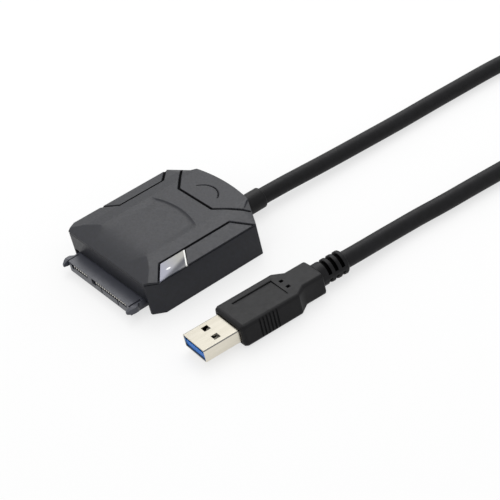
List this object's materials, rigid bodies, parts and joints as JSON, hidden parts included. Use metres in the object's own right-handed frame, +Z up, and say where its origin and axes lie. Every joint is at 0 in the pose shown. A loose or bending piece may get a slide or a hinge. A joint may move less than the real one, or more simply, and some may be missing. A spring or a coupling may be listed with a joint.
{
  "type": "usb to sata adapter",
  "caption": "Small plastic housing with a drive connector along its front, a clear activity window, and a short cord to a USB plug",
  "frame": {"origin": "on the table, under the middle of the box round the housing with its connector and gland", "axes": "+X towards the side with the activity window, -Y the way the drive connector faces, +Z up"},
  "size_m": [0.0886, 0.2104, 0.014],
  "materials": {
    "black_abs": "fine moulded satin",
    "connector_plastic": "fine moulded satin",
    "clear_plastic": "polished clear plastic",
    "black_vinyl": "semi-gloss",
    "gold_plate": "plated",
    "tinned_steel": "bright tinned",
    "board_laminate": "solder mask",
    "chip_epoxy": "moulded",
    "ferrite": "matt",
    "ceramic_tan": "fired",
    "white_resin": "moulded",
    "blue_plastic": "moulded"
  },
  "bodies": {
    "root": {"top_cover": "black_abs", "bottom_case": "black_abs", "led_window": "clear_plastic", "drive_connector": "connector_plastic", "signal_pin_1": "gold_plate", "signal_pin_2": "gold_plate", "signal_pin_3": "gold_plate", "signal_pin_4": "gold_plate", "signal_pin_5": "gold_plate", "signal_pin_6": "gold_plate", "signal_pin_7": "gold_plate", "power_pin_1": "gold_plate", "power_pin_2": "gold_plate", "power_pin_3": "gold_plate", "power_pin_4": "gold_plate", "power_pin_5": "gold_plate", "power_pin_6": "gold_plate", "power_pin_7": "gold_plate", "power_pin_8": "gold_plate", "power_pin_9": "gold_plate", "power_pin_10": "gold_plate", "power_pin_11": "gold_plate", "power_pin_12": "gold_plate", "power_pin_13": "gold_plate", "power_pin_14": "gold_plate", "power_pin_15": "gold_plate", "connector_tab_left": "tinned_steel", "connector_tab_right": "tinned_steel", "main_board": "board_laminate", "bridge_chip": "chip_epoxy", "flash_chip": "chip_epoxy", "voltage_regulator": "chip_epoxy", "power_inductor": "ferrite", "crystal": "tinned_steel", "bulk_capacitor": "tinned_steel", "activity_light": "white_resin", "small_capacitor_1": "ceramic_tan", "small_capacitor_2": "ceramic_tan", "small_capacitor_3": "ceramic_tan", "small_capacitor_4": "ceramic_tan", "cable_gland": "black_vinyl", "cord_tube": "black_vinyl", "cord_wire_1": "black_vinyl", "cord_wire_2": "black_vinyl", "cord_wire_3": "black_vinyl", "cord_wire_4": "black_vinyl", "plug_grip": "black_vinyl", "plug_shell": "tinned_steel", "plug_tongue": "blue_plastic", "plug_front_pad_1": "gold_plate", "plug_front_pad_2": "gold_plate", "plug_front_pad_3": "gold_plate", "plug_front_pad_4": "gold_plate", "plug_rear_pad_1": "gold_plate", "plug_rear_pad_2": "gold_plate", "plug_rear_pad_3": "gold_plate", "plug_rear_pad_4": "gold_plate", "plug_rear_pad_5": "gold_plate"}
  },
  "joints": []
}
